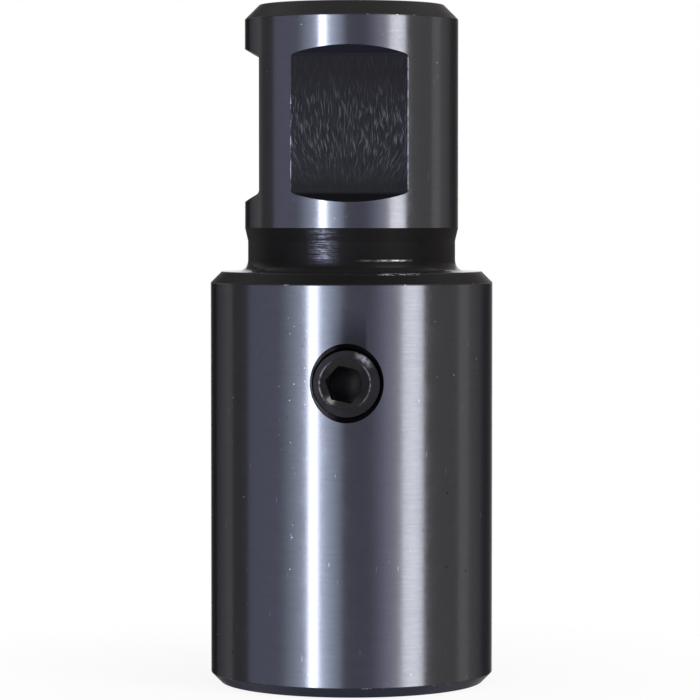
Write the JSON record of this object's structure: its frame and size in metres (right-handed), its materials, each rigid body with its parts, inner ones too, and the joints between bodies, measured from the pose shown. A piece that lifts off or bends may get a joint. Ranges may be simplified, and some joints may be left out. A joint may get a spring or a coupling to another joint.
{
  "type": "tap holder",
  "caption": "Holds a threading tap in a drill spindle: a ground round body with a square-drive socket and a side set screw, necked to a straight shank with clamping flats.",
  "frame": {"origin": "centre of the flat end that the tap goes into, at the bottom", "axes": "+Z along the turning axis, from the tap end up to the shank; the set screw and one flat face -Y, the other flat faces -X"},
  "size_m": [0.0252, 0.0252, 0.0604],
  "materials": {
    "ground_steel": "hardened dark steel, ground bright on the body and the shank, turned matt black at the neck, the shoulder and the chamfers",
    "blackened_screw": "black oxide with a faint sheen"
  },
  "bodies": {
    "holder": {"holder_body": "ground_steel"},
    "screw": {"set_screw": "blackened_screw"}
  },
  "joints": [
    {"name": "set_screw_travel", "type": "slide", "parent": "holder", "child": "screw", "axis": [0, 1, 0], "range_m": [-0.0045, 0.0055]}
  ]
}
